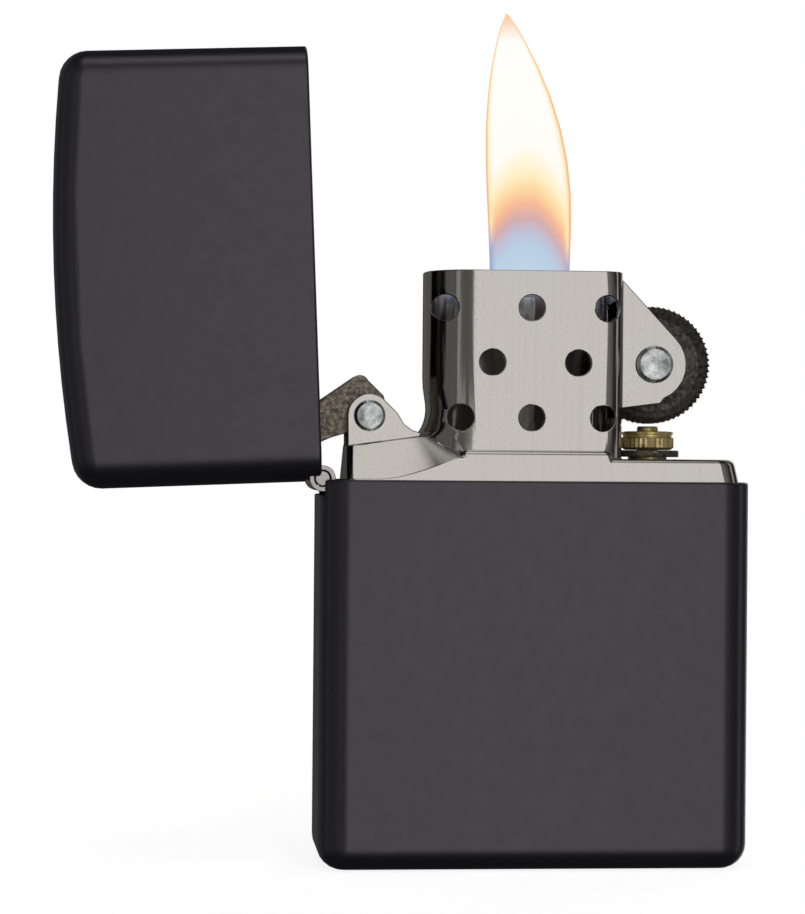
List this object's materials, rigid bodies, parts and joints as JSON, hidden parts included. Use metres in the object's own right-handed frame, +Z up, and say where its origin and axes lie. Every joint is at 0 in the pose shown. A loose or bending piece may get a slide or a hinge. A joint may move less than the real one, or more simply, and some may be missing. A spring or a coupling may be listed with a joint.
{
  "type": "flip-top lighter",
  "caption": "Flip-top windproof pocket lighter standing open: black rectangular case, hinged lid, steel insert with perforated chimney, striker wheel and cam.",
  "frame": {"origin": "centre of the case's flat underside, on the surface the lighter stands on", "axes": "+X along the width, away from the hinge and the open lid; +Y through the thickness, towards the back; +Z up"},
  "size_m": [0.0615, 0.0126, 0.0721],
  "materials": {
    "black_paint": "matte black enamel on pressed brass, fine orange-peel",
    "bright_steel": "plain pressed stainless steel, lightly brushed and heat-tinted",
    "satin_steel": "drawn stainless steel, satin",
    "dark_steel": "hardened steel, blackened, cross-cut teeth",
    "cam_steel": "sintered steel, dark brown-grey, speckled",
    "brass": "tarnished turned brass",
    "spring_steel": "spring steel, plain",
    "cotton": "loose rayon and cotton fibre",
    "felt": "pressed wool felt"
  },
  "bodies": {
    "case": {"case_shell": "black_paint", "case_hinge_leaf": "bright_steel", "hinge_pin": "bright_steel"},
    "lid": {"lid_shell": "black_paint", "lid_hinge_leaf": "bright_steel"},
    "insert": {"fuel_tank": "satin_steel", "chimney_top": "bright_steel", "cam_rivet": "bright_steel", "wheel_rivet": "satin_steel", "cam_spring": "spring_steel", "flint_tube": "brass", "flint_tube_collar": "brass", "flint_tube_washer": "dark_steel", "flint_spring": "spring_steel", "wick": "cotton", "packing_ball_1": "cotton", "packing_ball_2": "cotton", "packing_ball_3": "cotton", "packing_ball_4": "cotton", "packing_ball_5": "cotton", "felt_pad": "felt"},
    "cam": {"cam": "cam_steel"},
    "striker": {"striker_wheel": "dark_steel"},
    "flint_train": {"flint": "brass", "flint_pusher": "brass"},
    "screw": {"flint_screw": "brass"}
  },
  "joints": [
    {"name": "lid_hinge", "type": "hinge", "parent": "case", "child": "lid", "pos_m": [-0.0188, 0, 0.03425], "axis": [0, -1, 0], "range_deg": [-92.4, 0]},
    {"name": "insert_lift", "type": "slide", "parent": "case", "child": "insert", "axis": [0, 0, 1], "range_m": [0, 0.028]},
    {"name": "cam_pivot", "type": "hinge", "parent": "insert", "child": "cam", "pos_m": [-0.0146, 0, 0.0398], "axis": [0, -1, 0], "range_deg": [-88, 0]},
    {"name": "wheel_spin", "type": "hinge", "parent": "insert", "child": "striker", "pos_m": [0.01065, 0, 0.04455], "axis": [0, 1, 0], "continuous": true},
    {"name": "flint_slide", "type": "slide", "parent": "insert", "child": "flint_train", "axis": [0, 0, 1], "range_m": [-0.004, 0], "stiffness_N_per_m": 120, "springref_m": 0.002, "deforming": ["flint_spring"]},
    {"name": "screw_turn", "type": "hinge", "parent": "insert", "child": "screw", "pos_m": [0.01066, 0, 0.0009], "axis": [0, 0, 1], "continuous": true}
  ],
  "couplings": [
    {"joint": "cam_pivot", "follows": "lid_hinge", "ratio": 0.93}
  ]
}
